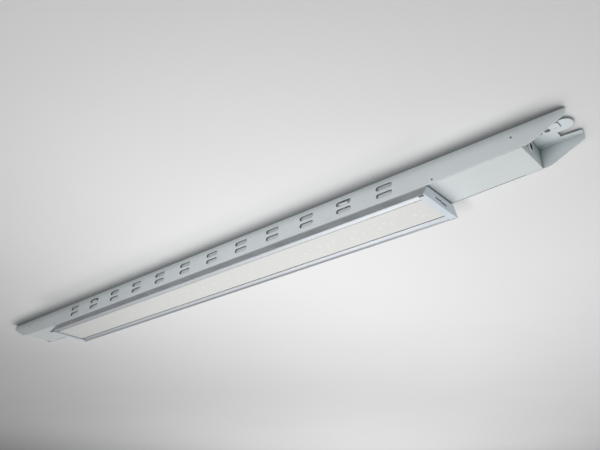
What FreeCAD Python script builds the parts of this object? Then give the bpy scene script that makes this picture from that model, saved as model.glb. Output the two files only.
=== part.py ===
import FreeCAD, Part
import math
import os

# Linear ceiling luminaire: a folded trunking rail, a gear tray and two blank covers inside it,
# and a flared lamp with a lens panel hung below it.
# Millimetres. Origin at the centre of the ceiling face, +X along the rail, +Z up, light towards -Z.

# Trunking rail, one folded sheet
rail_length = 1816.0
rail_width = 92.0
rail_height = 50.6
rail_sheet = 1.5
rail_bend_inside = 1.0

# Vent and latch slots in both rail walls, in stacked pairs
slot_pitch = 100.0
slot_length = 38.0
slot_height = 10.0
slot_drop = 17.5
slot_row_step = 16.9

# Beak ends of the rail walls
nose_height = 14.5
nose_round = 3.0
beak_run = 64.0
beak_round = 40.0
end_rise = 7.0

# Ends of the rail's web: side strips, rounded tongue, lanced tab and holes
notch_length = 35.0
strip_root = 13.5
strip_tip = 10.5
tongue_width = 33.0
tongue_setback = 1.0
lance_width = 15.0
lance_length = 12.0
lance_drop = 1.5
lance_slit = 1.2
lance_offset = -6.5
web_hole = 10.5
fixing_inset = 60.0
coupling_step = 14.0

# Lamp body, one extrusion, with its end caps
lamp_setback = 261.0
lamp_width = 123.6
lamp_neck = 2.8
lamp_flare = 23.2
lamp_skin = 1.8
lamp_plate = 1.5
blind_floor = 0.5
lamp_rib = 5.0
rim_width = 19.2
lip_width = 6.4
lip_depth = 3.0
lip_round = 0.4
neck_setback = 12.0
cap_plate = 3.0
cap_flange = 12.0
cap_roof = 1.6
cap_lug_length = 8.0
cap_lug_width = 9.0
cap_lug_height = 3.4
release_slot_length = 40.0
release_slot_height = 3.6
release_slot_jog = 1.6
release_slot_drop = 0.9

# Lens panel, its groove and the open joint beside it
lens_recess = 0.4
lens_thickness = 2.0
lens_joint = 2.2
lens_rise = 5.5
groove_depth = 3.0
groove_ledge = 1.8

# LED boards, chips and lens strips
board_count = 4
board_gap = 14.0
board_end_margin = 20.0
board_width = 76.0
board_thickness = 1.6
strip_margin = 14.0
strip_plate = 1.5
strip_leg = 1.4
optic_diameter = 17.0
optic_tip = 9.0
optic_height = 5.0
optic_pitch = 30.0
optic_row_step = 24.0
optic_rows = 3
chip_size = 3.0
chip_height = 0.7
connector_length = 9.0
connector_width = 11.0
connector_height = 4.5

# Gear tray, one folded sheet
tray_gap = 2.0
tray_sheet = 1.0
tray_bend_inside = 0.5
tray_top_drop = 8.0

# Blank covers with their folded end plates
cover_gap = 2.0
cover_clearance = 0.5
cover_sheet = 1.0
cover_bend_inside = 0.5
cover_flange = 14.0
bulkhead_setback = 78.5
bulkhead_top_drop = 4.0
ear_length = 31.5
ear_slit = 1.5
snap_hole = 4.4
snap_collar = 3.8
snap_collar_height = 1.6
snap_bore = 2.4
snap_edge_margin = 6.0
snap_inner_inset = 22.3
snap_outer_inset = 15.3
snap_outer_drop = 19.0

# Wiring connectors in the end plates
port_width = 10.5
port_height = 14.0
port_wall = 3.75
port_lip = 2.0
port_lip_height = 2.5
port_depth = 24.0
port_back = 6.5
port_offset = -3.6
port_drop = 22.4
insert_wall = 0.8
insert_base = 9.0
insert_setback = 0.5
contact_diameter = 2.2
contact_bore = 1.4
contact_length = 12.0
contact_stem = 4.0
pin_diameter = 1.2
pin_length = 16.0
contact_step = 3.6
contact_column = 1.9

# Spring latches
latch_width = 20.0
latch_strip = 0.8
latch_foot = 14.0
latch_nose_inset = 0.6
latch_nose_flat = 1.6
latch_nose_rise = 6.0
latch_tail = 0.4
rivet_shank = 3.0
rivet_head = 5.5
rivet_head_height = 1.2

# Drivers and their terminals
driver_length = 220.0
driver_width = 30.0
driver_height = 21.0
driver_round = 1.5
driver_ear = 12.0
driver_ear_sheet = 1.0
driver_offset = 15.0
driver_lead_run = 24.0
pocket_length = 14.0
pocket_rim = 2.0
pocket_floor = 5.5
terminal_height = 13.0

# Terminal block and earth point
block_length = 50.0
block_width = 20.0
block_height = 17.5
block_poles = 5
block_groove = 1.2
block_groove_depth = 4.0
block_screw = 4.0
block_screw_step = 10.0
block_screw_height = 2.5
block_pocket_depth = 3.5
earth_offset = 28.0
earth_stud_diameter = 4.0
earth_stud_height = 9.5
earth_lug_ring = 10.0
earth_lug_sheet = 0.8
earth_barrel = 3.8
earth_barrel_length = 6.0
earth_nut_flats = 7.0
earth_nut_height = 3.2

# Wires and what holds them
cable_diameter = 8.0
cable_offset = -18.0
cable_bend = 60.0
cable_turn_start = 24.0
cable_turn_end = 45.0
lead_diameter = 2.4
lead_bend = 9.0
lead_pair_step = 1.6
lead_tap = 12.0
lead_height = 9.5
clip_base = 1.0
clip_wall = 1.5
clip_length = 8.0
clip_foot = 3.2
clip_mouth = 5.0
clip_start = 75.0
clip_pitch = 200.0
grommet_hole = 10.0
grommet_bore = 7.0
grommet_flange = 13.0
grommet_lip = 1.5

# Screws
screw_shank = 3.0
screw_head = 5.6
screw_crown = 4.4
screw_head_height = 1.8
screw_edge = 7.0
lamp_screw_inset = 36.0

# Clearances
slide_clearance = 0.3
hole_clearance = 0.3
cut_margin = 5.0
tiny = 1e-6

# Levels and stations that several pieces share
x_end = rail_length / 2
half_rail = rail_width / 2
rail_inside = half_rail - rail_sheet
z_rail = -rail_height
x_lamp = x_end - lamp_setback
x_body = x_lamp - cap_plate
x_tray = x_body - neck_setback
x_cover = x_tray + cover_gap
x_bulkhead = x_end - bulkhead_setback
x_beak = x_end - beak_run
z_beak = z_rail + end_rise
z_neck = z_rail - lamp_neck
z_lamp = z_neck - lamp_flare
half_lamp = lamp_width / 2
z_plate = z_rail - lamp_plate
z_board = z_plate - board_thickness
rim_inside = half_lamp - rim_width
z_rim = z_lamp + lip_depth
z_lens = z_rim + lens_recess
half_lens = rim_inside - lens_joint
z_foot = z_lens + lens_rise
z_foot_top = z_foot + lens_thickness
groove_out = rim_inside + groove_depth
tray_outside = rail_inside - tray_gap
tray_inside = tray_outside - tray_sheet
z_floor = z_rail + tray_sheet
z_tray_top = -tray_top_drop
cover_outside = rail_inside - cover_clearance
cover_inside = cover_outside - cover_sheet
x_ear = x_bulkhead - ear_length
slot_count = int(2 * x_lamp / slot_pitch)
slot_xs = [(i - (slot_count - 1) / 2) * slot_pitch for i in range(slot_count)]
latch_xs = [slot_xs[1], slot_xs[-2]]
board_length = (2 * (x_body - board_end_margin) - (board_count - 1) * board_gap) / board_count
board_step = board_length + board_gap
board_xs = [(i - (board_count - 1) / 2) * board_step for i in range(board_count)]
strip_length = board_length - 2 * strip_margin
optics_per_row = int((strip_length - optic_diameter) / optic_pitch) + 1
x_grommet = board_step
x_driver = x_grommet - driver_lead_run - driver_length
z_lead = z_floor + lead_height
z_cable = z_floor + clip_base + slide_clearance + cable_diameter / 2
z_port = -port_drop
x_port_face = x_bulkhead + port_lip_height
x_port_floor = x_port_face - port_depth
x_port_back = x_port_floor - port_back
screw_hole = screw_shank + 2 * hole_clearance


def vec(x, y, z):
    return FreeCAD.Vector(x, y, z)


def taper_z(x):
    """Height of the rail's lower edge at a station beyond the lamp."""
    share = (x - x_cover) / (x_beak - x_cover)
    return z_rail + share * (z_beak - z_rail)


def rounded_corner(point, before, after, radius):
    """Tangent points and arc middle for one corner of an outline."""
    if radius <= 0:
        return point, None, point
    to_before = (before - point).normalize()
    to_after = (after - point).normalize()
    half = to_before.getAngle(to_after) / 2
    reach = radius / math.tan(half)
    bisector = (to_before + to_after).normalize()
    middle = point + bisector * (radius / math.sin(half) - radius)
    return point + to_before * reach, middle, point + to_after * reach


def outline(corners, place):
    """Face with straight edges between corners (u, v) or rounded corners (u, v, radius)."""
    points = [place(corner[0], corner[1]) for corner in corners]
    turns = []
    for i, corner in enumerate(corners):
        radius = corner[2] if len(corner) > 2 else 0.0
        after = points[(i + 1) % len(points)]
        turns.append(rounded_corner(points[i], points[i - 1], after, radius))
    edges = []
    for i, (arrive, middle, leave) in enumerate(turns):
        if middle is not None:
            edges.append(Part.Arc(arrive, middle, leave).toShape())
        goal = turns[(i + 1) % len(turns)][0]
        if leave.distanceToPoint(goal) > tiny:
            edges.append(Part.LineSegment(leave, goal).toShape())
    return Part.Face(Part.Wire(edges))


def prism_x(corners, x0, x1):
    return outline(corners, lambda u, v: vec(x0, u, v)).extrude(vec(x1 - x0, 0, 0))


def prism_y(corners, y0, y1):
    return outline(corners, lambda u, v: vec(u, y0, v)).extrude(vec(0, y1 - y0, 0))


def prism_z(corners, z0, z1):
    return outline(corners, lambda u, v: vec(u, v, z0)).extrude(vec(0, 0, z1 - z0))


def rectangle(u0, u1, v0, v1):
    return [(u0, v0), (u1, v0), (u1, v1), (u0, v1)]


def obround(u, v, length, height):
    """Corners of a slot or stadium; the shorter side sets the end radius."""
    radius = min(length, height) / 2
    du = length / 2
    dv = height / 2
    return [(u - du, v - dv, radius), (u + du, v - dv, radius),
            (u + du, v + dv, radius), (u - du, v + dv, radius)]


def channel(half_outside, sheet, bend_inside, root, tip):
    """Corners of a folded U: web at the level root, wall edges at the level tip."""
    side = 1 if tip > root else -1
    half_inside = half_outside - sheet
    bend_outside = bend_inside + sheet
    inner = root + side * sheet
    return [(-half_outside, tip), (-half_outside, root, bend_outside),
            (half_outside, root, bend_outside), (half_outside, tip),
            (half_inside, tip), (half_inside, inner, bend_inside),
            (-half_inside, inner, bend_inside), (-half_inside, tip)]


def box(x0, x1, y0, y1, z0, z1):
    return Part.makeBox(x1 - x0, y1 - y0, z1 - z0, vec(x0, y0, z0))


def rod(diameter, start, end):
    axis = end - start
    return Part.makeCylinder(diameter / 2, axis.Length, start, axis)


def rod_x(diameter, y, z, x0, x1):
    return rod(diameter, vec(x0, y, z), vec(x1, y, z))


def rod_z(diameter, x, y, z0, z1):
    return rod(diameter, vec(x, y, z0), vec(x, y, z1))


def across(diameter, x, z):
    """Tool for one hole through both walls of the rail or the tray."""
    return rod(diameter, vec(x, -rail_width, z), vec(x, rail_width, z))


def mirrored(shape):
    """The same piece at the other end of the rail."""
    return shape.mirror(vec(0, 0, 0), vec(1, 0, 0))


def both_ends(shapes):
    return shapes + [mirrored(shape) for shape in shapes]


def wire_along(points, bend, diameter):
    """Round wire along straight runs joined by tangent arcs."""
    turns = [(points[0], None, points[0])]
    for before, point, after in zip(points, points[1:], points[2:]):
        turns.append(rounded_corner(point, before, after, bend))
    turns.append((points[-1], None, points[-1]))
    edges = []
    for i, (arrive, middle, leave) in enumerate(turns):
        if middle is not None:
            edges.append(Part.Arc(arrive, middle, leave).toShape())
        if i + 1 < len(turns):
            edges.append(Part.LineSegment(leave, turns[i + 1][0]).toShape())
    first = points[1] - points[0]
    circle = Part.Wire(Part.Circle(points[0], first, diameter / 2).toShape())
    return Part.Wire(edges).makePipeShell([circle], True, False)


def save(node, shapes):
    """Write one node: a single solid, or a group of separate solids."""
    solids = shapes if isinstance(shapes, list) else [shapes]
    parts = [solid for shape in solids for solid in shape.Solids]
    shape = parts[0] if len(parts) == 1 else Part.makeCompound(parts)
    shape.exportStep("parts/" + node + ".step")


def screw(x, y, seat, tip):
    """Pan-head screw whose head sits at the level seat, with its shank towards the level tip."""
    away = 1 if seat > tip else -1
    head = Part.makeCone(screw_head / 2, screw_crown / 2, screw_head_height, vec(x, y, seat), vec(0, 0, away))
    return head.fuse(rod_z(screw_shank, x, y, seat, tip)).removeSplitter()


def screw_hole_at(x, y, z0, z1):
    return rod_z(screw_hole, x, y, z0, z1)


# Places of the fasteners, shared by the holes and the screws
lamp_screw_places = [(x, y) for x in (-x_tray + lamp_screw_inset, -x_grommet - lamp_screw_inset / 2,
                                      x_grommet + lamp_screw_inset / 2, x_tray - lamp_screw_inset)
                     for y in (-tray_inside + screw_edge, tray_inside - screw_edge)]
board_screw_places = [(x + side * (board_length / 2 - screw_edge), y)
                      for x in board_xs for side in (-1, 1)
                      for y in (-board_width / 2 + screw_edge, board_width / 2 - screw_edge)]
driver_screw_places = [(side * x, driver_offset) for side in (-1, 1)
                       for x in (x_driver - driver_ear / 2, x_driver + driver_length + driver_ear / 2)]
x_inner_snap = x_cover + snap_inner_inset
snap_places = [(x_inner_snap, taper_z(x_inner_snap) + cover_flange - snap_edge_margin),
               (x_bulkhead - snap_outer_inset, -snap_outer_drop)]
x_first_clip = block_length / 2 + clip_start
clip_count = int((x_tray - clip_length - x_first_clip) / clip_pitch) + 1
clip_xs = [x_first_clip + i * clip_pitch for i in range(clip_count)]


def rail_end_cuts():
    """Cut-outs in the web at the +X end: notches beside the tongue, lance, holes."""
    x_notch = x_end - notch_length
    root = half_rail - strip_root
    tip = half_rail - strip_tip
    low = -rail_sheet - cut_margin
    notch = prism_z([(x_notch, -root), (x_end, -tip), (x_end + cut_margin, -tip),
                     (x_end + cut_margin, tip), (x_end, tip), (x_notch, root)], low, cut_margin)
    x_tip = x_end - tongue_setback
    half = tongue_width / 2
    tongue = prism_z([(x_notch - cut_margin, -half), (x_tip, -half, half),
                      (x_tip, half, half), (x_notch - cut_margin, half)], low, cut_margin)
    slit_half = lance_width / 2 + lance_slit
    x_slit = x_notch + lance_length + lance_slit
    lance = prism_z(rectangle(x_notch, x_slit, lance_offset - slit_half, lance_offset + slit_half),
                    low, cut_margin)
    holes = [rod_z(web_hole, x, 0, low, cut_margin)
             for x in (x_end - fixing_inset, x_end - fixing_inset + coupling_step)]
    return [notch.cut(tongue), lance] + holes


def rail_lance():
    """Latch tab lanced out of the tongue and bent down."""
    x_root = x_end - notch_length
    x_tip = x_root + lance_length
    tab = [(x_root, 0), (x_tip, -lance_drop), (x_tip, -lance_drop - rail_sheet), (x_root, -rail_sheet)]
    return prism_y(tab, lance_offset - lance_width / 2, lance_offset + lance_width / 2)


def make_rail():
    section = channel(half_rail, rail_sheet, rail_bend_inside, 0, z_rail)
    lower = [(x_end, -nose_height, nose_round), (x_beak, z_beak, beak_round), (x_cover, z_rail)]
    silhouette = [(-x_end, 0), (x_end, 0)] + lower
    silhouette += [(-corner[0],) + corner[1:] for corner in reversed(lower)]
    side_view = prism_y(silhouette, -rail_width, rail_width)
    rail = prism_x(section, -x_end, x_end).common(side_view)
    cuts = [prism_y(obround(x, z, slot_length, slot_height), -rail_width, rail_width)
            for x in slot_xs for z in (-slot_drop, -slot_drop - slot_row_step)]
    cuts += both_ends([across(snap_hole, x, z) for x, z in snap_places])
    cuts += both_ends(rail_end_cuts())
    return rail.cut(cuts).fuse(both_ends([rail_lance()])).removeSplitter()


def latch_window(x, side):
    """Notch from the top of the tray wall that the latch nose passes through."""
    low = -slot_drop - latch_nose_rise - hole_clearance
    half = latch_width / 2 + hole_clearance
    y0, y1 = sorted((side * (tray_inside - cut_margin), side * (tray_outside + cut_margin)))
    return box(x - half, x + half, y0, y1, low, z_tray_top + cut_margin)


def rivet_level():
    return -slot_drop - latch_nose_rise - latch_foot / 2


def make_tray():
    section = channel(tray_outside, tray_sheet, tray_bend_inside, z_rail, z_tray_top)
    tray = prism_x(section, -x_tray, x_tray)
    low = z_rail - cut_margin
    high = z_floor + cut_margin
    cuts = [screw_hole_at(x, y, low, high) for x, y in lamp_screw_places + driver_screw_places]
    cuts += [rod_z(grommet_hole, x, driver_offset, low, high) for x in (-x_grommet, x_grommet)]
    cuts += [latch_window(x, side) for x in latch_xs for side in (-1, 1)]
    cuts += [across(rivet_shank + 2 * hole_clearance, x, rivet_level()) for x in latch_xs]
    return tray.cut(cuts)


def flare_y(z):
    """Half-width of the lamp's flared outer face at a level."""
    return half_rail + (z_neck - z) * (half_lamp - half_rail) / lamp_flare


def flare_inside_y(z):
    slant = math.hypot(half_lamp - half_rail, lamp_flare) / lamp_flare
    return flare_y(z) - lamp_skin * slant


def lamp_section():
    """Outline of the extrusion: locating ribs, neck, flare, hanging lip, flat rim and lens groove."""
    rib_in = tray_outside + slide_clearance
    rib_out = rail_inside - slide_clearance
    neck_in = half_rail - lamp_skin
    z_low = z_foot - slide_clearance
    z_high = z_foot_top + slide_clearance
    z_ledge = z_high + groove_ledge
    slope = (half_lamp - half_rail) / lamp_flare
    z_meet = z_neck - (neck_in - flare_inside_y(z_neck)) / slope
    right = [(rib_in, z_rail), (rib_in, z_rail + lamp_rib), (rib_out, z_rail + lamp_rib), (rib_out, z_rail),
             (half_rail, z_rail), (half_rail, z_neck),
             (half_lamp, z_lamp, lip_round), (half_lamp - lip_width, z_rim), (rim_inside, z_rim),
             (rim_inside, z_low), (groove_out, z_low), (groove_out, z_high), (rim_inside, z_high),
             (rim_inside, z_ledge), (flare_inside_y(z_ledge), z_ledge),
             (neck_in, z_meet), (neck_in, z_plate)]
    left = [(-corner[0],) + corner[1:] for corner in reversed(right)]
    return right + left


def make_lamp_body():
    body = prism_x(lamp_section(), -x_body, x_body)
    neck_in = half_rail - lamp_skin
    x_past = x_body + cut_margin
    cuts = both_ends([box(x_tray, x_past, -neck_in, neck_in, z_neck, z_rail),
                      box(x_tray, x_past, -half_rail, half_rail, z_rail, 0)])
    cuts += [screw_hole_at(x, y, z_plate - cut_margin, z_rail + tiny) for x, y in lamp_screw_places]
    cuts += [screw_hole_at(x, y, z_plate - cut_margin, z_rail - blind_floor) for x, y in board_screw_places]
    cuts += [rod_z(grommet_hole, x, driver_offset, z_plate - cut_margin, z_rail + tiny)
             for x in (-x_grommet, x_grommet)]
    return body.cut(cuts)


def make_end_cap():
    """Cap at the +X end: face plate, lens flange, roof over the neck end, lugs, release slot."""
    face = [(-half_rail, z_neck), (half_rail, z_neck),
            (half_lamp, z_lamp, lip_round), (-half_lamp, z_lamp, lip_round)]
    plate = prism_x(face, x_body, x_lamp)
    flange_half = half_lamp - lip_width - slide_clearance
    flange = box(x_body - cap_flange, x_body, -flange_half, flange_half, z_lamp, z_rim - slide_clearance)
    roof_half = half_rail - lamp_skin - slide_clearance
    roof = box(x_tray + slide_clearance, x_body, -roof_half, roof_half, z_neck - cap_roof, z_neck)
    z_lug = z_neck - cap_roof - cap_lug_height
    lugs = [box(x_body - cap_lug_length, x_body, y0, y0 + cap_lug_width, z_lug, z_neck - cap_roof)
            for y0 in (-roof_half, roof_half - cap_lug_width)]
    z_slot = (z_neck + z_lamp) / 2 - release_slot_drop
    slots = []
    for side in (-1, 1):
        y0, y1 = sorted((0, side * release_slot_length / 2))
        z_low = z_slot - side * release_slot_jog / 2 - release_slot_height / 2
        slots.append(box(x_body - tiny, x_lamp + cut_margin, y0, y1, z_low, z_low + release_slot_height))
    return plate.fuse([flange, roof] + lugs).removeSplitter().cut(slots)


def make_lens_panel():
    """Extruded lens above the caps' flanges: face, two side walls and a foot in each groove."""
    inner = half_lens - lens_thickness
    foot = groove_out - slide_clearance
    right = [(half_lens, z_lens), (half_lens, z_foot), (foot, z_foot), (foot, z_foot_top),
             (inner, z_foot_top), (inner, z_lens + lens_thickness)]
    left = [(-y, z) for y, z in reversed(right)]
    x_stop = x_body - slide_clearance
    return prism_x(right + left, -x_stop, x_stop)


def make_board(x):
    half = board_length / 2
    board = box(x - half, x + half, -board_width / 2, board_width / 2, z_board, z_plate)
    cuts = [screw_hole_at(sx, sy, z_board - cut_margin, z_plate + cut_margin)
            for sx, sy in board_screw_places if abs(sx - x) < half]
    return board.cut(cuts)


def optic_places(x):
    """Stations of the chips and their optics on the board at x."""
    middle_column = (optics_per_row - 1) / 2
    middle_row = (optic_rows - 1) / 2
    return [(x + (i - middle_column) * optic_pitch, (j - middle_row) * optic_row_step)
            for i in range(optics_per_row) for j in range(optic_rows)]


def make_lens_strip(x):
    """Moulded optic over one board: plate on two side legs, one conical optic under each chip."""
    half = strip_length / 2
    half_width = board_width / 2
    z_top = z_board - strip_leg
    z_low = z_top - strip_plate
    plate = box(x - half, x + half, -half_width, half_width, z_low, z_top)
    legs = [box(x - half, x + half, y0, y0 + strip_plate, z_top, z_board)
            for y0 in (-half_width, half_width - strip_plate)]
    cones = [Part.makeCone(optic_diameter / 2, optic_tip / 2, optic_height, vec(dx, dy, z_low), vec(0, 0, -1))
             for dx, dy in optic_places(x)]
    return plate.fuse(legs + cones).removeSplitter()


def make_chips():
    half = chip_size / 2
    return [box(dx - half, dx + half, dy - half, dy + half, z_board - chip_height, z_board)
            for x in board_xs for dx, dy in optic_places(x)]


def connector_places():
    """Board ends beside each grommet: station of the face that takes the lead, and its side."""
    return [(sign * (x_grommet + side * board_gap / 2), sign * side) for sign in (-1, 1) for side in (-1, 1)]


def make_connectors():
    connectors = []
    for x, side in connector_places():
        x0, x1 = sorted((x + side * hole_clearance, x + side * (hole_clearance + connector_length)))
        y0 = driver_offset - connector_width / 2
        connectors.append(box(x0, x1, y0, y0 + connector_width, z_board - connector_height, z_board))
    return connectors


def port_outline(margin):
    """Stadium round the connector's cavity, a margin outside it."""
    return obround(port_offset, z_port, port_width + 2 * margin, port_height + 2 * margin)


def make_cover():
    """Blank cover at the +X end: sloping floor, side flanges, end plate folded up, its ears folded back."""
    x_stop = x_ear - ear_slit
    z_start = taper_z(x_cover)
    z_stop = taper_z(x_stop)
    section = channel(cover_outside, cover_sheet, cover_bend_inside, z_start, z_start + cover_flange)
    trough = outline(section, lambda u, v: vec(x_cover, u, v))
    trough = trough.extrude(vec(x_stop - x_cover, 0, z_stop - z_start))
    strip = rectangle(-cover_outside, cover_outside, z_stop, z_stop + cover_sheet)
    floor = outline(strip, lambda u, v: vec(x_stop, u, v))
    floor = floor.extrude(vec(x_bulkhead - x_stop, 0, taper_z(x_bulkhead) - z_stop))
    bend = cover_bend_inside + cover_sheet
    x_plate = x_bulkhead - cover_sheet
    plan = [(x_ear, -cover_outside), (x_bulkhead, -cover_outside, bend),
            (x_bulkhead, cover_outside, bend), (x_ear, cover_outside),
            (x_ear, cover_inside), (x_plate, cover_inside, cover_bend_inside),
            (x_plate, -cover_inside, cover_bend_inside), (x_ear, -cover_inside)]
    end_plate = prism_z(plan, taper_z(x_ear), -bulkhead_top_drop)
    x_start = x_ear - cut_margin
    z_under = z_rail - cut_margin
    under = [(x_start, taper_z(x_start)), (x_end, taper_z(x_end)), (x_end, z_under), (x_start, z_under)]
    below = prism_y(under, -rail_width, rail_width)
    mouth = prism_x(port_outline(port_wall + slide_clearance), x_ear, x_end)
    y_collar = cover_outside + snap_collar_height
    collars = [rod(snap_collar, vec(x, side * cover_inside, z), vec(x, side * y_collar, z))
               for x, z in snap_places for side in (-1, 1)]
    cover = trough.fuse([floor, end_plate.cut([below, mouth])] + collars).removeSplitter()
    return cover.cut([across(snap_bore, x, z) for x, z in snap_places])


def make_port():
    """Connector shell in the +X end plate: lip outside, body behind, stadium cavity."""
    lip = prism_x(port_outline(port_wall + port_lip), x_bulkhead, x_port_face)
    shell = prism_x(port_outline(port_wall), x_port_back, x_bulkhead)
    cavity = prism_x(port_outline(0), x_port_floor, x_port_face + cut_margin)
    return lip.fuse(shell).removeSplitter().cut(cavity)


def contact_places():
    """Three contacts in one column of the cavity and two in the other."""
    places = [(port_offset - contact_column, z_port + i * contact_step) for i in (-1, 0, 1)]
    places += [(port_offset + contact_column, z_port + i * contact_step / 2) for i in (-1, 1)]
    return places


def make_insert(diameter):
    """Insulating cup in the +X connector's cavity, with a hole in its base for each contact."""
    x_rim = x_port_face - insert_setback
    cup = prism_x(port_outline(-slide_clearance), x_port_floor, x_rim)
    well = prism_x(port_outline(-slide_clearance - insert_wall), x_port_floor + insert_base, x_rim + cut_margin)
    holes = [rod_x(diameter + 2 * hole_clearance, y, z, x_port_floor - cut_margin, x_rim)
             for y, z in contact_places()]
    return cup.cut([well] + holes)


def make_socket_contacts():
    x_tip = x_port_floor + contact_length
    sleeves = []
    for y, z in contact_places():
        sleeve = rod_x(contact_diameter, y, z, x_port_floor, x_tip)
        bore = rod_x(contact_bore, y, z, x_port_floor + contact_stem, x_tip + cut_margin)
        sleeves.append(sleeve.cut(bore))
    return sleeves


def make_plug_pins():
    pins = [rod_x(pin_diameter, y, z, x_port_floor, x_port_floor + pin_length) for y, z in contact_places()]
    return [mirrored(pin) for pin in pins]


def make_latch(x, side):
    """Spring strip on the inside of a tray wall, with its nose in an upper wall slot."""
    z_nose = -slot_drop
    y_out = half_rail - latch_nose_inset
    z_foot_top = z_nose - latch_nose_rise
    z_foot = z_foot_top - latch_foot
    flat = latch_nose_flat / 2
    inner = tray_inside - latch_strip
    z_tail = z_nose + latch_nose_rise - latch_tail
    profile = [(tray_inside, z_foot), (tray_inside, z_foot_top),
               (y_out, z_nose - flat), (y_out, z_nose + flat), (tray_inside, z_tail), (inner, z_tail),
               (y_out - latch_strip, z_nose + flat), (y_out - latch_strip, z_nose - flat),
               (inner, z_foot_top), (inner, z_foot)]
    profile = [(side * y, z) for y, z in profile]
    strip = prism_x(profile, x - latch_width / 2, x + latch_width / 2)
    return strip.cut(across(rivet_shank + 2 * hole_clearance, x, rivet_level()))


def make_rivet(x, side):
    z = rivet_level()
    inner = tray_inside - latch_strip
    stations = [inner - rivet_head_height, inner, tray_outside, tray_outside + rivet_head_height]
    ends = [vec(x, side * y, z) for y in stations]
    shank = rod(rivet_shank, ends[1], ends[2])
    heads = [rod(rivet_head, ends[0], ends[1]), rod(rivet_head, ends[2], ends[3])]
    return shank.fuse(heads).removeSplitter()


def make_driver():
    """Slim driver on the +X side of the tray: case with a terminal pocket at each end, and two ears."""
    y0 = driver_offset - driver_width / 2
    y1 = driver_offset + driver_width / 2
    z_top = z_floor + driver_height
    x_far = x_driver + driver_length
    section = [(y0, z_floor), (y1, z_floor), (y1, z_top, driver_round), (y0, z_top, driver_round)]
    case = prism_x(section, x_driver, x_far)
    ears = [box(x0, x0 + driver_ear, y0, y1, z_floor, z_floor + driver_ear_sheet)
            for x0 in (x_driver - driver_ear, x_far)]
    z_pocket = z_floor + pocket_floor
    cuts = [box(x0, x0 + pocket_length, y0 + pocket_rim, y1 - pocket_rim, z_pocket, z_top + cut_margin)
            for x0 in (x_driver, x_far - pocket_length)]
    cuts += [screw_hole_at(x, y, z_floor - cut_margin, z_floor + cut_margin)
             for x, y in driver_screw_places if x > 0]
    return case.fuse(ears).removeSplitter().cut(cuts)


def make_driver_terminals():
    half = driver_width / 2 - pocket_rim - slide_clearance
    y0 = driver_offset - half
    y1 = driver_offset + half
    z_low = z_floor + pocket_floor
    length = pocket_length - slide_clearance
    x_far = x_driver + driver_length
    return both_ends([box(x0, x0 + length, y0, y1, z_low, z_low + terminal_height)
                      for x0 in (x_driver, x_far - length)])


def pole_xs():
    step = block_length / block_poles
    return [(i - (block_poles - 1) / 2) * step for i in range(block_poles)]


def block_screw_places():
    return [(x, cable_offset + side * block_screw_step / 2) for x in pole_xs() for side in (-1, 1)]


def make_terminal_block():
    z_top = z_floor + block_height
    half = block_width / 2
    block = box(-block_length / 2, block_length / 2, cable_offset - half, cable_offset + half, z_floor, z_top)
    xs = pole_xs()
    grooves = [box((a + b) / 2 - block_groove / 2, (a + b) / 2 + block_groove / 2, cable_offset - rail_width,
                   cable_offset + rail_width, z_top - block_groove_depth, z_top + cut_margin)
               for a, b in zip(xs, xs[1:])]
    pocket = block_screw + 2 * hole_clearance
    pockets = [rod_z(pocket, x, y, z_top - block_pocket_depth, z_top + cut_margin)
               for x, y in block_screw_places()]
    return block.cut(grooves + pockets)


def make_terminal_screws():
    seat = z_floor + block_height - block_pocket_depth
    return [rod_z(block_screw, x, y, seat, seat + block_screw_height) for x, y in block_screw_places()]


def make_supply_cable():
    """Cable from the terminal block to the back of the +X connector."""
    points = [vec(block_length / 2, cable_offset, z_cable),
              vec(x_tray + cable_turn_start, cable_offset, z_cable),
              vec(x_port_back - cable_turn_end, port_offset, z_port),
              vec(x_port_back, port_offset, z_port)]
    return wire_along(points, cable_bend, cable_diameter)


def make_driver_lead():
    y_block = cable_offset + block_width / 2
    points = [vec(lead_tap, y_block, z_lead), vec(lead_tap, driver_offset, z_lead),
              vec(x_driver, driver_offset, z_lead)]
    return wire_along(points, lead_bend, lead_diameter)


def make_led_leads():
    """Two leads from the driver's output, down through the grommet, one to each board beside it."""
    z_low = z_board - connector_height / 2
    leads = []
    for side in (-1, 1):
        y = driver_offset + side * lead_pair_step
        x_face = x_grommet + side * (board_gap / 2 + hole_clearance)
        points = [vec(x_driver + driver_length, y, z_lead), vec(x_grommet, y, z_lead),
                  vec(x_grommet, y, z_low), vec(x_face, y, z_low)]
        leads.append(wire_along(points, board_gap / 2 - lead_diameter, lead_diameter))
    return leads


def barrel_start():
    return earth_offset - earth_lug_ring / 2 - earth_barrel_length


def make_earth_lead():
    y_block = cable_offset + block_width / 2
    z_end = z_floor + earth_barrel / 2
    y_end = barrel_start() + earth_barrel_length / 2
    points = [vec(0, y_block, z_lead), vec(0, y_block + lead_bend / 2, z_lead),
              vec(0, barrel_start() - lead_bend / 2, z_end), vec(0, y_end, z_end)]
    return wire_along(points, lead_bend / 2, lead_diameter)


def make_earth_lug():
    """Crimp lug: ring round the stud and a barrel on the lead."""
    ring = rod_z(earth_lug_ring, 0, earth_offset, z_floor, z_floor + earth_lug_sheet)
    y0 = barrel_start()
    y1 = y0 + earth_barrel_length
    z_axis = z_floor + earth_barrel / 2
    barrel = rod(earth_barrel, vec(0, y0, z_axis), vec(0, y1, z_axis))
    tang = box(-earth_barrel / 2, earth_barrel / 2, y0, earth_offset, z_floor, z_floor + earth_lug_sheet)
    stud = rod_z(earth_stud_diameter + 2 * hole_clearance, 0, earth_offset,
                 z_floor - cut_margin, z_floor + cut_margin)
    bore = rod(lead_diameter + 2 * hole_clearance, vec(0, y0 - cut_margin, z_axis),
               vec(0, y0 + earth_barrel_length / 2, z_axis))
    return ring.fuse([barrel, tang]).removeSplitter().cut([stud, bore])


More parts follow.
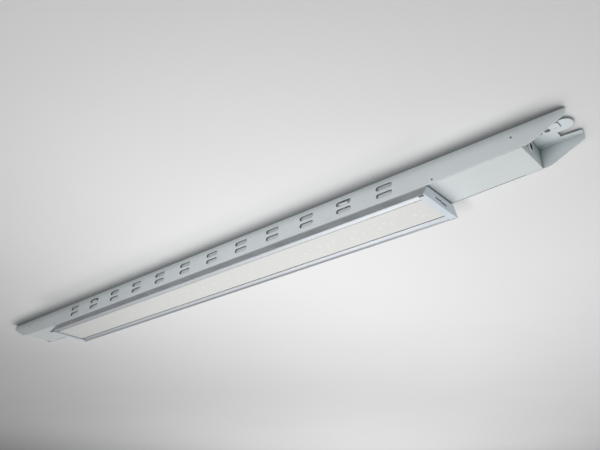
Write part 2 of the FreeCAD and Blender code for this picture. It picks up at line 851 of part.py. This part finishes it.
def make_earth_stud():
    return rod_z(earth_stud_diameter, 0, earth_offset, z_floor, z_floor + earth_stud_height)


def make_earth_nut():
    z0 = z_floor + earth_lug_sheet
    z1 = z0 + earth_nut_height
    radius = earth_nut_flats / math.sqrt(3)
    turns = [math.radians(60 * i) for i in range(6)]
    corners = [(radius * math.cos(turn), earth_offset + radius * math.sin(turn)) for turn in turns]
    hole = rod_z(earth_stud_diameter + 2 * hole_clearance, 0, earth_offset, z0 - cut_margin, z1 + cut_margin)
    return prism_z(corners, z0, z1).cut(hole)


def make_clip(x):
    """C-shaped saddle that holds the supply cable on the tray floor."""
    bore = cable_diameter + 2 * slide_clearance
    ring = bore + 2 * clip_wall
    x0 = x - clip_length / 2
    x1 = x + clip_length / 2
    half = ring / 2 + clip_foot
    base = box(x0, x1, cable_offset - half, cable_offset + half, z_floor, z_floor + clip_base)
    body = base.fuse(rod_x(ring, cable_offset, z_cable, x0, x1))
    x0 -= cut_margin
    x1 += cut_margin
    gap = clip_mouth / 2
    under = box(x0, x1, cable_offset - half, cable_offset + half, z_floor - ring, z_floor)
    mouth = box(x0, x1, cable_offset - gap, cable_offset + gap, z_cable, z_cable + ring)
    hole = rod_x(bore, cable_offset, z_cable, x0, x1)
    return body.cut([under, mouth, hole]).removeSplitter()


def make_grommet(x):
    """Rubber ring with a lip on each side of the tray floor and the lamp's plate."""
    top = z_floor + grommet_lip
    low = z_plate - grommet_lip
    waist = rod_z(grommet_hole - 2 * hole_clearance, x, driver_offset, z_plate, z_floor)
    lips = [rod_z(grommet_flange, x, driver_offset, z_floor, top),
            rod_z(grommet_flange, x, driver_offset, low, z_plate)]
    bore = rod_z(grommet_bore, x, driver_offset, low - cut_margin, top + cut_margin)
    return waist.fuse(lips).removeSplitter().cut(bore)


def build():
    os.makedirs("parts", exist_ok=True)
    save("trunking_rail", make_rail())
    save("gear_tray", make_tray())
    cover = make_cover()
    save("blank_cover_right", cover)
    save("blank_cover_left", mirrored(cover))
    save("lamp_body", make_lamp_body())
    cap = make_end_cap()
    save("end_cap_right", cap)
    save("end_cap_left", mirrored(cap))
    save("lens_panel", make_lens_panel())
    for number, x in enumerate(board_xs, 1):
        save("led_board_%d" % number, make_board(x))
        save("lens_strip_%d" % number, make_lens_strip(x))
    save("led_chips", make_chips())
    save("board_connectors", make_connectors())
    z_board_tip = z_rail - blind_floor - hole_clearance
    save("board_screws", [screw(x, y, z_board, z_board_tip) for x, y in board_screw_places])
    driver = make_driver()
    save("led_driver_right", driver)
    save("led_driver_left", mirrored(driver))
    save("driver_terminals", make_driver_terminals())
    save("driver_screws", [screw(x, y, z_floor + driver_ear_sheet, z_rail) for x, y in driver_screw_places])
    save("terminal_block", make_terminal_block())
    save("terminal_screws", make_terminal_screws())
    port = make_port()
    save("wiring_socket", port)
    save("wiring_plug", mirrored(port))
    save("socket_insert", make_insert(contact_diameter))
    save("plug_insert", mirrored(make_insert(pin_diameter)))
    save("socket_contacts", make_socket_contacts())
    save("plug_pins", make_plug_pins())
    cable = make_supply_cable()
    save("supply_cable_right", cable)
    save("supply_cable_left", mirrored(cable))
    save("driver_leads", both_ends([make_driver_lead()]))
    save("led_leads", both_ends(make_led_leads()))
    save("earth_lead", make_earth_lead())
    save("earth_lug", make_earth_lug())
    save("earth_stud", make_earth_stud())
    save("earth_nut", make_earth_nut())
    save("cable_clips", both_ends([make_clip(x) for x in clip_xs]))
    save("cable_grommets", [make_grommet(x) for x in (-x_grommet, x_grommet)])
    save("latch_springs", [make_latch(x, side) for x in latch_xs for side in (-1, 1)])
    save("latch_rivets", [make_rivet(x, side) for x in latch_xs for side in (-1, 1)])
    save("lamp_screws", [screw(x, y, z_floor, z_plate) for x, y in lamp_screw_places])


build()
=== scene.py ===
import math

import bpy
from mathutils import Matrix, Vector

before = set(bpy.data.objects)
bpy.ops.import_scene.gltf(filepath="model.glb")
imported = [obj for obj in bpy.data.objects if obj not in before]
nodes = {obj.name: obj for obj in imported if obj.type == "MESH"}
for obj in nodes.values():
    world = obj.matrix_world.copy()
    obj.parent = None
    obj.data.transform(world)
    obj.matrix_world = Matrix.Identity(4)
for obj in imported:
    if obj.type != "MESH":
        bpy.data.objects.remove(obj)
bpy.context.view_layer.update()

# Camera, fitted to the photograph's 600 x 450 frame: metres, degrees, and millimetres for lens and sensor
CAMERA_PLACE = (1.17073, -0.98065, -0.67872)
CAMERA_TURN = (117.301, -1.0926, 41.3226)
CAMERA_LENS = 39.552
CAMERA_SENSOR = 36.0

# Ceiling that the rail hangs from, in metres
CEILING_SIZE = 12.0
CEILING_GAP = 0.0035

# Lamp strip above the web, for views from above: metres and watts
STRIP_LENGTH = 1.83
STRIP_WIDTH = 0.06
STRIP_HEIGHT = 0.09
STRIP_POWER = 0.5

# Lamps below the ceiling: place, target and size in metres, spread in degrees and power in watts
LAMPS = {
    "key": ((1.28, -2.7, -3.05), (-0.05, 0.45, 0.0), 0.8, 75.0, 7.5),
    "key_low": ((1.0, -2.6, -2.0), (0.1, 0.3, 0.0), 0.6, 45.0, 1.6),
    "near_box": ((0.5, -0.9, -2.6), (0.1, 0.35, 0.0), 0.6, 50.0, 1.1),
    "end_box": ((2.4, 0.2, -1.6), (0.4, 0.0, 0.0), 1.0, 120.0, 5.0),
    "far_box": ((-1.4, 2.8, -3.4), (-1.4, 2.8, 0.0), 2.2, 140.0, 22.5),
    "far_pool": ((-1.25, 2.4, -2.3), (-1.25, 2.4, 0.0), 1.8, 140.0, 14.5),
    "rim_box": ((-2.4, 2.7, -1.85), (-0.2, 0.2, 0.0), 3.0, 110.0, 5.4),
    "room_box": ((-0.6, -4.4, -2.0), (-0.6, -4.4, 0.0), 2.5, 80.0, 45.0),
    "fill_box": ((0.3, 1.0, -2.0), (0.3, 1.0, 0.0), 1.6, 120.0, 4.6),
}

# World: its light all round, and the colour seen behind the part
WORLD_LIGHT = (1.0, 1.0, 1.0)
WORLD_STRENGTH = 0.02
BACKDROP = (0.44, 0.45, 0.46)
BACKDROP_STRENGTH = 1.0

# Shared by the finishes
OPAQUE = (1.0,)
ACRYLIC_IOR = 1.49
EDGE_SAMPLES = 6
CAVITY_SAMPLES = 8
# Painted shade: the dark colour of joints and recesses, and the teal colour of inner corners
SHADE_COLOUR = (0.10, 0.11, 0.115)
CORNER_SHADE_COLOUR = (0.05, 0.10, 0.11)
EXTRUSION_WEAR = 0.6

# Boards in the lamp, each with its strip of optics
BOARD_COUNT = 4


def tree_of(owner):
    """Empty node tree of a new material or world."""
    owner.use_nodes = True
    owner.node_tree.nodes.clear()
    return owner.node_tree


def add(tree, kind, inputs=(), **settings):
    """Node of a kind; each input is a value or another node's output."""
    node = tree.nodes.new("ShaderNode" + kind)
    for name, value in settings.items():
        setattr(node, name, value)
    for name, value in dict(inputs).items():
        if isinstance(value, bpy.types.NodeSocket):
            tree.links.new(value, node.inputs[name])
        else:
            node.inputs[name].default_value = value
    return node


def combine(tree, operation, *values):
    """Result of a Math node on one or two values."""
    return add(tree, "Math", enumerate(values), operation=operation).outputs["Value"]


def mix_shaders(tree, share, first, second):
    """First shader where the share is 0, second where it is 1."""
    return add(tree, "MixShader", {"Fac": share, 1: first, 2: second}).outputs["Shader"]


def place_in(tree, stretch=(1, 1, 1)):
    """Position on the object in metres, each axis multiplied to stretch a pattern."""
    where = add(tree, "TexCoord").outputs["Object"]
    return add(tree, "Mapping", {"Vector": where, "Scale": stretch}).outputs["Vector"]


def noise(tree, where, scale, detail=2.0):
    """Cloudy pattern; a larger scale makes it finer."""
    return add(tree, "TexNoise", {"Vector": where, "Scale": scale, "Detail": detail}).outputs["Fac"]


def spread(tree, value, low, high, start=0.3, end=0.7):
    """Value mapped from start-end to low-high."""
    inputs = {"Value": value, "From Min": start, "From Max": end, "To Min": low, "To Max": high}
    return add(tree, "MapRange", inputs).outputs["Result"]


def vary(tree, pattern, middle, less, more):
    """Value that runs with a pattern from less below the middle to more above it."""
    return spread(tree, pattern, low=middle - less, high=middle + more)


def tint(tree, value, first, second, start=0.3, end=0.7):
    """Colour that runs from the first to the second with the value."""
    ramp = add(tree, "ValToRGB", {"Fac": value})
    low, high = ramp.color_ramp.elements
    low.position = start
    low.color = first + OPAQUE
    high.position = end
    high.color = second + OPAQUE
    return ramp.outputs["Color"]


def blend_colour(tree, share, first, second):
    """Mix of two colours, each a value or another node's output."""
    mix = add(tree, "Mix", {"Factor": share}, data_type="RGBA")
    for socket, value in zip([s for s in mix.inputs if s.type == "RGBA"], (first, second)):
        if isinstance(value, bpy.types.NodeSocket):
            tree.links.new(value, socket)
        else:
            socket.default_value = value + OPAQUE
    return [s for s in mix.outputs if s.type == "RGBA"][0]


def edges(tree, radius):
    """Rounded edge normal, and a share that grows from flats to edges.

    The share follows the cosine between the rounded and the flat normal.
    """
    soft = add(tree, "Bevel", {"Radius": radius}, samples=EDGE_SAMPLES).outputs["Normal"]
    flat = add(tree, "NewGeometry").outputs["Normal"]
    cosine = add(tree, "VectorMath", {0: soft, 1: flat}, operation="DOT_PRODUCT").outputs["Value"]
    return soft, spread(tree, cosine, low=1.0, high=0.0, start=0.72, end=0.995)


def bump(tree, height, depth, strength, normal=None):
    """Normal of a relief, on top of another normal if one is given."""
    inputs = {"Height": height, "Distance": depth, "Strength": strength}
    if normal is not None:
        inputs["Normal"] = normal
    return add(tree, "Bump", inputs).outputs["Normal"]


def painted_cavity_shade(tree, colour, reach, depth, shade_colour=SHADE_COLOUR, start=0.2, end=0.75):
    """Painted shade: colour darkened by ambient occlusion in joints and inner corners, but not on faces
    that look up.

    The share of painted shade grows from none, where the open share is end, to depth, where it is start.
    """
    free = add(tree, "AmbientOcclusion", {"Distance": reach}, samples=CAVITY_SAMPLES).outputs["AO"]
    normal = add(tree, "NewGeometry").outputs["Normal"]
    upward = add(tree, "SeparateXYZ", {"Vector": normal}).outputs["Z"]
    top = spread(tree, upward, low=0.0, high=1.0, start=0.6, end=0.9)
    unshaded = combine(tree, "MAXIMUM", free, top)
    share = spread(tree, unshaded, low=depth, high=0.0, start=start, end=end)
    return blend_colour(tree, share, colour, shade_colour)


def start_material(name):
    """New material and its empty node tree."""
    material = bpy.data.materials.new(name + "_finish")
    return material, tree_of(material)


def finish_material(material, tree, **sockets):
    """Principled shader on the material's output."""
    shader = add(tree, "BsdfPrincipled", {key.replace("_", " "): value for key, value in sockets.items()})
    add(tree, "OutputMaterial", {"Surface": shader.outputs["BSDF"]})
    return material


def powder_coat(name, pale, deep, edge, rough=0.42, corner_shade_end=0.69):
    """Powder-coated sheet: orange peel, cloudy film thickness and thin paint along the edges.

    Joints get painted shade, and inner corners a wider teal painted shade where less than the given share
    of their surroundings is open.
    """
    material, tree = start_material(name)
    where = place_in(tree)
    peel = noise(tree, where, scale=850.0)
    cloud = noise(tree, where, scale=9.0, detail=4.0)
    wear = spread(tree, noise(tree, where, scale=160.0), low=0.15, high=0.75)
    soft, edge_share = edges(tree, radius=0.0009)
    film = tint(tree, cloud, deep, pale)
    colour = blend_colour(tree, combine(tree, "MULTIPLY", edge_share, wear), film, edge)
    # Painted shade in joints and slots, then a wider teal painted shade in inner corners
    colour = painted_cavity_shade(tree, colour, reach=0.008, depth=0.7)
    colour = painted_cavity_shade(tree, colour, reach=0.05, depth=0.95, shade_colour=CORNER_SHADE_COLOUR, start=0.22, end=corner_shade_end)
    return finish_material(material, tree, Base_Color=colour,
                           Roughness=vary(tree, cloud, rough, less=0.06, more=0.08),
                           Normal=bump(tree, peel, depth=0.00006, strength=0.35, normal=soft))


def extruded_metal(name, pale, deep, edge):
    """Coated extrusion: die lines along X under a satin film."""
    material, tree = start_material(name)
    lines = noise(tree, place_in(tree, stretch=(0.6, 420.0, 420.0)), scale=3.0, detail=3.0)
    cloud = noise(tree, place_in(tree), scale=7.0, detail=4.0)
    soft, edge_share = edges(tree, radius=0.0007)
    film = tint(tree, cloud, deep, pale)
    colour = blend_colour(tree, combine(tree, "MULTIPLY", edge_share, EXTRUSION_WEAR), film, edge)
    # Painted shade in grooves and joints
    colour = painted_cavity_shade(tree, colour, reach=0.004, depth=0.6)
    return finish_material(material, tree, Base_Color=colour, Metallic=0.8,
                           Roughness=spread(tree, lines, low=0.26, high=0.40),
                           Normal=bump(tree, lines, depth=0.00004, strength=0.25, normal=soft))


def moulded_plastic(name, pale, deep, rough=0.45, grain=1400.0, shade=0.6, reach=0.005):
    """Moulded plastic: fine spark-erosion grain and faint flow clouds."""
    material, tree = start_material(name)
    where = place_in(tree)
    skin = noise(tree, where, scale=grain, detail=3.0)
    flow = noise(tree, where, scale=24.0, detail=4.0)
    soft, _ = edges(tree, radius=0.0005)
    # Painted shade in recesses, as deep as the share shade
    colour = painted_cavity_shade(tree, tint(tree, flow, deep, pale), reach, depth=shade, end=0.8)
    return finish_material(material, tree, Base_Color=colour,
                           Roughness=vary(tree, skin, rough, less=0.08, more=0.1),
                           Normal=bump(tree, skin, depth=0.00005, strength=0.3, normal=soft))


def frosted_lens(name):
    """Diffusing panel: fine ribs along X, a soft milky body and painted glints along its middle."""
    material, tree = start_material(name)
    where = place_in(tree)
    ribs = add(tree, "TexWave", {"Vector": where, "Scale": 110.0, "Distortion": 0.4},
               bands_direction="Y").outputs["Fac"]
    milk = noise(tree, where, scale=260.0, detail=4.0)
    # Painted highlights: lighter spots in a row along the middle, standing in for glints on the optics
    # below
    glint_distance = add(tree, "TexVoronoi", {"Vector": where, "Scale": 62.0}).outputs["Distance"]
    across = combine(tree, "ABSOLUTE", add(tree, "SeparateXYZ", {"Vector": where}).outputs["Y"])
    row = spread(tree, across, low=1.0, high=0.15, start=0.008, end=0.022)
    spark = spread(tree, glint_distance, low=1.0, high=0.0, start=0.08, end=0.34)
    colour = tint(tree, combine(tree, "MULTIPLY", spark, row),
                  first=(0.885, 0.892, 0.862), second=(1.0, 1.0, 0.99), start=0.0, end=1.0)
    # Painted shade in recesses
    colour = painted_cavity_shade(tree, colour, reach=0.004, depth=0.6)
    return finish_material(material, tree, Base_Color=colour, IOR=ACRYLIC_IOR,
                           Roughness=spread(tree, milk, low=0.28, high=0.34),
                           Alpha=spread(tree, milk, low=0.88, high=0.91),
                           Normal=bump(tree, ribs, depth=0.0001, strength=0.25))


def clear_optic(name):
    """Clear moulded optics with a slight ripple."""
    material, tree = start_material(name)
    ripple = noise(tree, place_in(tree), scale=120.0)
    colour = tint(tree, ripple, first=(0.82, 0.86, 0.87), second=(0.94, 0.96, 0.96))
    return finish_material(material, tree, Base_Color=colour, IOR=ACRYLIC_IOR, Alpha=0.55,
                           Roughness=spread(tree, ripple, low=0.06, high=0.14),
                           Normal=bump(tree, ripple, depth=0.0001, strength=0.2))


def worked_metal(name, pale, deep, rough=0.3):
    """Bare metal with drawn grain along X and slight tarnish."""
    material, tree = start_material(name)
    drawn = noise(tree, place_in(tree, stretch=(60.0, 600.0, 600.0)), scale=2.0, detail=3.0)
    tarnish = noise(tree, place_in(tree), scale=90.0, detail=4.0)
    return finish_material(material, tree, Base_Color=tint(tree, tarnish, deep, pale), Metallic=1.0,
                           Roughness=vary(tree, drawn, rough, less=0.08, more=0.12),
                           Normal=bump(tree, drawn, depth=0.00003, strength=0.3))


def ceiling_paint(name):
    """Matt emulsion that shows only from the room side, with painted shade where the rail is close."""
    material, tree = start_material(name)
    where = place_in(tree)
    roll = noise(tree, where, scale=260.0, detail=3.0)
    cloud = noise(tree, where, scale=1.3)
    colour = tint(tree, cloud, first=(0.885, 0.885, 0.885), second=(0.915, 0.915, 0.915))
    # Painted shadow: the ceiling darkened beside the rail by ambient occlusion
    colour = painted_cavity_shade(tree, colour, reach=0.05, depth=0.8, start=0.5, end=0.93)
    relief = bump(tree, roll, depth=0.0002, strength=0.15)
    paint = add(tree, "BsdfDiffuse", {"Color": colour, "Roughness": 0.5, "Normal": relief}).outputs["BSDF"]
    clear = add(tree, "BsdfTransparent").outputs["BSDF"]
    behind = add(tree, "NewGeometry").outputs["Backfacing"]
    add(tree, "OutputMaterial", {"Surface": mix_shaders(tree, behind, paint, clear)})
    return material


def dress(material, *names):
    """Material in every slot of the named nodes."""
    for name in names:
        for slot in nodes[name].material_slots:
            slot.material = material


def numbered(name, count):
    """Names that end in 1 to count."""
    return [name + "_%d" % (i + 1) for i in range(count)]


def dress_sheets():
    """Folded sheets and the drivers' cases."""
    dress(powder_coat("rail_paint", pale=(0.84, 0.893, 0.912), deep=(0.79, 0.848, 0.868),
                      edge=(0.86, 0.89, 0.90)),
          "trunking_rail")
    dress(powder_coat("cover_paint", pale=(0.79, 0.835, 0.845), deep=(0.74, 0.79, 0.80),
                      edge=(0.83, 0.855, 0.86), rough=0.5, corner_shade_end=0.88),
          "blank_cover_left", "blank_cover_right")
    dress(powder_coat("tray_paint", pale=(0.80, 0.81, 0.81), deep=(0.75, 0.765, 0.77),
                      edge=(0.70, 0.71, 0.71)),
          "gear_tray")
    dress(powder_coat("driver_case", pale=(0.70, 0.71, 0.72), deep=(0.62, 0.63, 0.64),
                      edge=(0.80, 0.80, 0.80)),
          "led_driver_left", "led_driver_right")


def dress_lamp():
    """Extrusion, caps, panel, optics and boards."""
    dress(extruded_metal("lamp_aluminium", pale=(0.50, 0.52, 0.54), deep=(0.45, 0.475, 0.50),
                         edge=(0.70, 0.71, 0.71)),
          "lamp_body")
    # Painted shade at full depth and wide reach, so that the release slot looks black
    dress(moulded_plastic("cap_plastic", pale=(0.75, 0.825, 0.89), deep=(0.70, 0.78, 0.85),
                          shade=1.0, reach=0.012),
          "end_cap_left", "end_cap_right")
    dress(frosted_lens("lens_clear"), "lens_panel")
    dress(clear_optic("optic_clear"), *numbered("lens_strip", BOARD_COUNT))
    dress(moulded_plastic("board_white", pale=(0.88, 0.88, 0.86), deep=(0.82, 0.825, 0.81),
                          rough=0.4, grain=600.0),
          *numbered("led_board", BOARD_COUNT))
    dress(moulded_plastic("chip_phosphor", pale=(0.90, 0.78, 0.36), deep=(0.82, 0.68, 0.26), rough=0.35),
          "led_chips")
    dress(moulded_plastic("connector_white", pale=(0.84, 0.83, 0.79), deep=(0.78, 0.77, 0.73)),
          "board_connectors")


def dress_wiring():
    """Terminals, connectors, cables and what holds them."""
    dress(moulded_plastic("terminal_plastic", pale=(0.80, 0.80, 0.77), deep=(0.72, 0.72, 0.69)),
          "driver_terminals", "terminal_block")
    dress(moulded_plastic("port_plastic", pale=(0.62, 0.66, 0.67), deep=(0.55, 0.59, 0.60)),
          "wiring_socket", "wiring_plug")
    dress(moulded_plastic("insert_black", pale=(0.022, 0.022, 0.024), deep=(0.012, 0.012, 0.013),
                          rough=0.5),
          "socket_insert", "plug_insert")
    dress(worked_metal("contact_brass", pale=(0.80, 0.62, 0.28), deep=(0.66, 0.48, 0.20), rough=0.25),
          "socket_contacts", "plug_pins")
    dress(moulded_plastic("cable_sheath", pale=(0.30, 0.31, 0.32), deep=(0.22, 0.23, 0.24),
                          rough=0.5, grain=700.0),
          "supply_cable_left", "supply_cable_right")
    dress(moulded_plastic("lead_red", pale=(0.55, 0.06, 0.05), deep=(0.44, 0.04, 0.04),
                          rough=0.4, grain=700.0),
          "driver_leads", "led_leads")
    dress(moulded_plastic("lead_earth", pale=(0.45, 0.52, 0.08), deep=(0.32, 0.42, 0.05),
                          rough=0.4, grain=700.0),
          "earth_lead")
    dress(moulded_plastic("clip_plastic", pale=(0.80, 0.80, 0.78), deep=(0.72, 0.72, 0.70)),
          "cable_clips")
    dress(moulded_plastic("grommet_rubber", pale=(0.05, 0.05, 0.05), deep=(0.03, 0.03, 0.03),
                          rough=0.6, grain=500.0),
          "cable_grommets")


def dress_fasteners():
    """Screws, earth hardware, springs and rivets."""
    dress(worked_metal("screw_steel", pale=(0.72, 0.73, 0.74), deep=(0.58, 0.60, 0.62)),
          "board_screws", "driver_screws", "lamp_screws", "terminal_screws",
          "earth_lug", "earth_stud", "earth_nut")
    dress(worked_metal("spring_steel", pale=(0.86, 0.87, 0.875), deep=(0.76, 0.775, 0.785), rough=0.5),
          "latch_springs")
    dress(worked_metal("rivet_aluminium", pale=(0.80, 0.81, 0.82), deep=(0.70, 0.71, 0.73), rough=0.35),
          "latch_rivets")


def put(name, data):
    """New object in the scene."""
    thing = bpy.data.objects.new(name, data)
    bpy.context.scene.collection.objects.link(thing)
    return thing


def make_ceiling():
    """Square of ceiling just above the web."""
    half = CEILING_SIZE / 2
    corners = [(x * half, y * half, CEILING_GAP) for x, y in ((-1, -1), (-1, 1), (1, 1), (1, -1))]
    mesh = bpy.data.meshes.new("ceiling")
    mesh.from_pydata(corners, [], [(0, 1, 2, 3)])
    ceiling = put("ceiling", mesh)
    mesh.materials.append(ceiling_paint("ceiling_paint"))
    return ceiling


def make_light():
    """Soft discs, each turned to its target."""
    for name, (place, target, size, angle, power) in LAMPS.items():
        data = bpy.data.lights.new(name, "AREA")
        data.shape = "DISK"
        data.size = size
        data.spread = math.radians(angle)
        data.energy = power
        lamp = put(name, data)
        lamp.location = place
        lamp.rotation_euler = (Vector(target) - Vector(place)).to_track_quat("-Z", "Y").to_euler()


def light_web(ceiling):
    """Strip over the web; the ceiling lets its light through."""
    data = bpy.data.lights.new("web_strip", "AREA")
    data.shape = "RECTANGLE"
    data.size = STRIP_LENGTH
    data.size_y = STRIP_WIDTH
    data.energy = STRIP_POWER
    lamp = put("web_strip", data)
    lamp.location.z = STRIP_HEIGHT
    passed = bpy.data.collections.new("strip_passes")
    passed.objects.link(ceiling)
    passed.collection_objects[0].light_linking.link_state = "EXCLUDE"
    lamp.light_linking.blocker_collection = passed


def background(tree, colour, strength):
    """World shader of one colour."""
    return add(tree, "Background", {"Color": colour + OPAQUE, "Strength": strength}).outputs["Background"]


def make_world():
    """Plain backdrop where the world is seen or mirrored, and a faint light all round."""
    world = bpy.data.worlds.new("studio")
    bpy.context.scene.world = world
    tree = tree_of(world)
    path = add(tree, "LightPath").outputs
    seen = combine(tree, "MAXIMUM", path["Is Camera Ray"], path["Is Glossy Ray"])
    seen = combine(tree, "MAXIMUM", seen, path["Is Transmission Ray"])
    shown = background(tree, BACKDROP, BACKDROP_STRENGTH)
    ambient = background(tree, WORLD_LIGHT, WORLD_STRENGTH)
    add(tree, "OutputWorld", {"Surface": mix_shaders(tree, seen, ambient, shown)})


def make_camera():
    """Camera at the photograph's place."""
    data = bpy.data.cameras.new("camera")
    data.lens = CAMERA_LENS
    data.sensor_width = CAMERA_SENSOR
    camera = put("camera", data)
    camera.location = CAMERA_PLACE
    camera.rotation_euler = [math.radians(turn) for turn in CAMERA_TURN]
    bpy.context.scene.camera = camera


dress_sheets()
dress_lamp()
dress_wiring()
dress_fasteners()
light_web(make_ceiling())
make_light()
make_world()
make_camera()
bpy.context.scene.view_settings.view_transform = "Standard"
